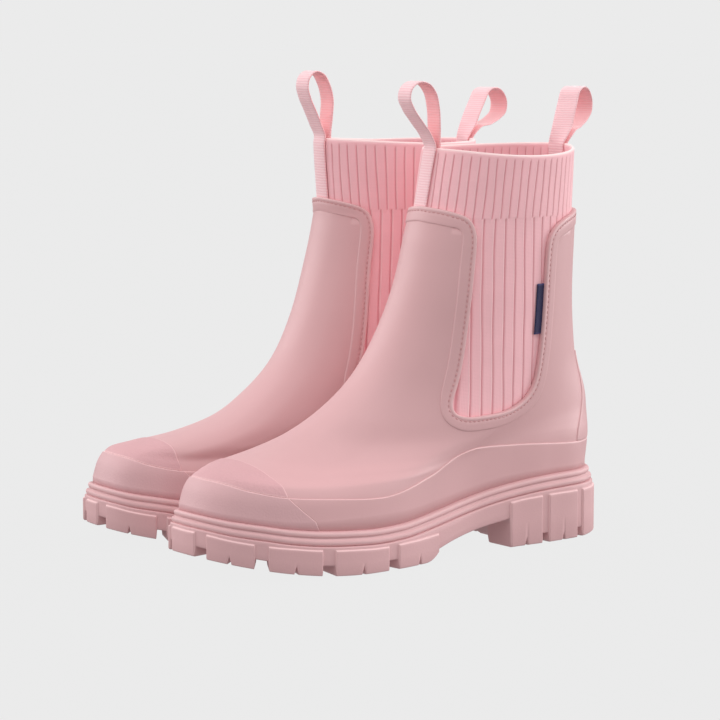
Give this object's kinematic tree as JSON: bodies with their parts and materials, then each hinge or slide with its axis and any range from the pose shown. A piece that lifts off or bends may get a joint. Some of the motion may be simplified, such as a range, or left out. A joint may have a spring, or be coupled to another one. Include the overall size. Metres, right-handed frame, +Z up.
{
  "type": "pair of rain boots",
  "caption": "Pair of short pull-on rubber rain boots with lugged platform soles, ribbed knit shafts and ribbon pull loops.",
  "frame": {"origin": "on the ground under the middle of the pair", "axes": "+Z up, -Y to the toes, +X to the wearer's left, where the left boot stands"},
  "size_m": [0.2196, 0.2928, 0.2775],
  "materials": {
    "left_outsole": "matte dusty pink",
    "left_insole_board": "pressed board",
    "left_footbed": "brushed cloth on foam",
    "left_welt": "matte dusty pink",
    "left_upper": "matte dusty pink",
    "left_toe_bumper": "matte dusty pink",
    "left_toe_cap": "stippled dusty pink",
    "left_mudguard": "matte dusty pink",
    "left_heel_stay": "matte dusty pink",
    "left_topline_band": "matte dusty pink",
    "left_foot_lining": "brushed jersey",
    "left_knit_shaft": "ribbed stretch knit",
    "left_side_label": "blank woven navy tab",
    "left_front_pull_loop": "grosgrain ribbon",
    "left_front_loop_tab": "grosgrain ribbon",
    "left_back_pull_loop": "grosgrain ribbon",
    "left_back_loop_tab": "grosgrain ribbon",
    "right_outsole": "matte dusty pink",
    "right_insole_board": "pressed board",
    "right_footbed": "brushed cloth on foam",
    "right_welt": "matte dusty pink",
    "right_upper": "matte dusty pink",
    "right_toe_bumper": "matte dusty pink",
    "right_toe_cap": "stippled dusty pink",
    "right_mudguard": "matte dusty pink",
    "right_heel_stay": "matte dusty pink",
    "right_topline_band": "matte dusty pink",
    "right_foot_lining": "brushed jersey",
    "right_knit_shaft": "ribbed stretch knit",
    "right_side_label": "blank woven navy tab",
    "right_front_pull_loop": "grosgrain ribbon",
    "right_front_loop_tab": "grosgrain ribbon",
    "right_back_pull_loop": "grosgrain ribbon",
    "right_back_loop_tab": "grosgrain ribbon"
  },
  "bodies": {
    "left_boot": {"left_outsole": "left_outsole", "left_insole_board": "left_insole_board", "left_footbed": "left_footbed", "left_welt": "left_welt", "left_upper": "left_upper", "left_toe_bumper": "left_toe_bumper", "left_toe_cap": "left_toe_cap", "left_mudguard": "left_mudguard", "left_heel_stay": "left_heel_stay", "left_topline_band": "left_topline_band", "left_foot_lining": "left_foot_lining", "left_knit_shaft": "left_knit_shaft", "left_side_label": "left_side_label", "left_front_loop_tab": "left_front_loop_tab", "left_back_loop_tab": "left_back_loop_tab"},
    "left_front_loop": {"left_front_pull_loop": "left_front_pull_loop"},
    "left_back_loop": {"left_back_pull_loop": "left_back_pull_loop"},
    "right_boot": {"right_outsole": "right_outsole", "right_insole_board": "right_insole_board", "right_footbed": "right_footbed", "right_welt": "right_welt", "right_upper": "right_upper", "right_toe_bumper": "right_toe_bumper", "right_toe_cap": "right_toe_cap", "right_mudguard": "right_mudguard", "right_heel_stay": "right_heel_stay", "right_topline_band": "right_topline_band", "right_foot_lining": "right_foot_lining", "right_knit_shaft": "right_knit_shaft", "right_side_label": "right_side_label", "right_front_loop_tab": "right_front_loop_tab", "right_back_loop_tab": "right_back_loop_tab"},
    "right_front_loop": {"right_front_pull_loop": "right_front_pull_loop"},
    "right_back_loop": {"right_back_pull_loop": "right_back_pull_loop"}
  },
  "joints": [
    {"name": "right_boot_lift", "type": "slide", "parent": "left_boot", "child": "right_boot", "axis": [0, 0, 1], "range_m": [0, 0.3]},
    {"name": "left_front_loop_swing", "type": "hinge", "parent": "left_boot", "child": "left_front_loop", "pos_m": [0.0524, 0.02576, 0.2345], "axis": [0.9988, 0.0489, 0], "range_deg": [-50, 40], "stiffness_Nm_per_rad": 0.02},
    {"name": "left_back_loop_swing", "type": "hinge", "parent": "left_boot", "child": "left_back_loop", "pos_m": [0.04761, 0.12385, 0.2345], "axis": [0.9988, 0.0489, 0], "range_deg": [-40, 28], "stiffness_Nm_per_rad": 0.02},
    {"name": "right_front_loop_swing", "type": "hinge", "parent": "right_boot", "child": "right_front_loop", "pos_m": [-0.0524, 0.02866, 0.2345], "axis": [0.9988, -0.0489, 0], "range_deg": [-50, 40], "stiffness_Nm_per_rad": 0.02},
    {"name": "right_back_loop_swing", "type": "hinge", "parent": "right_boot", "child": "right_back_loop", "pos_m": [-0.04761, 0.12675, 0.2345], "axis": [0.9988, -0.0489, 0], "range_deg": [-40, 28], "stiffness_Nm_per_rad": 0.02}
  ]
}
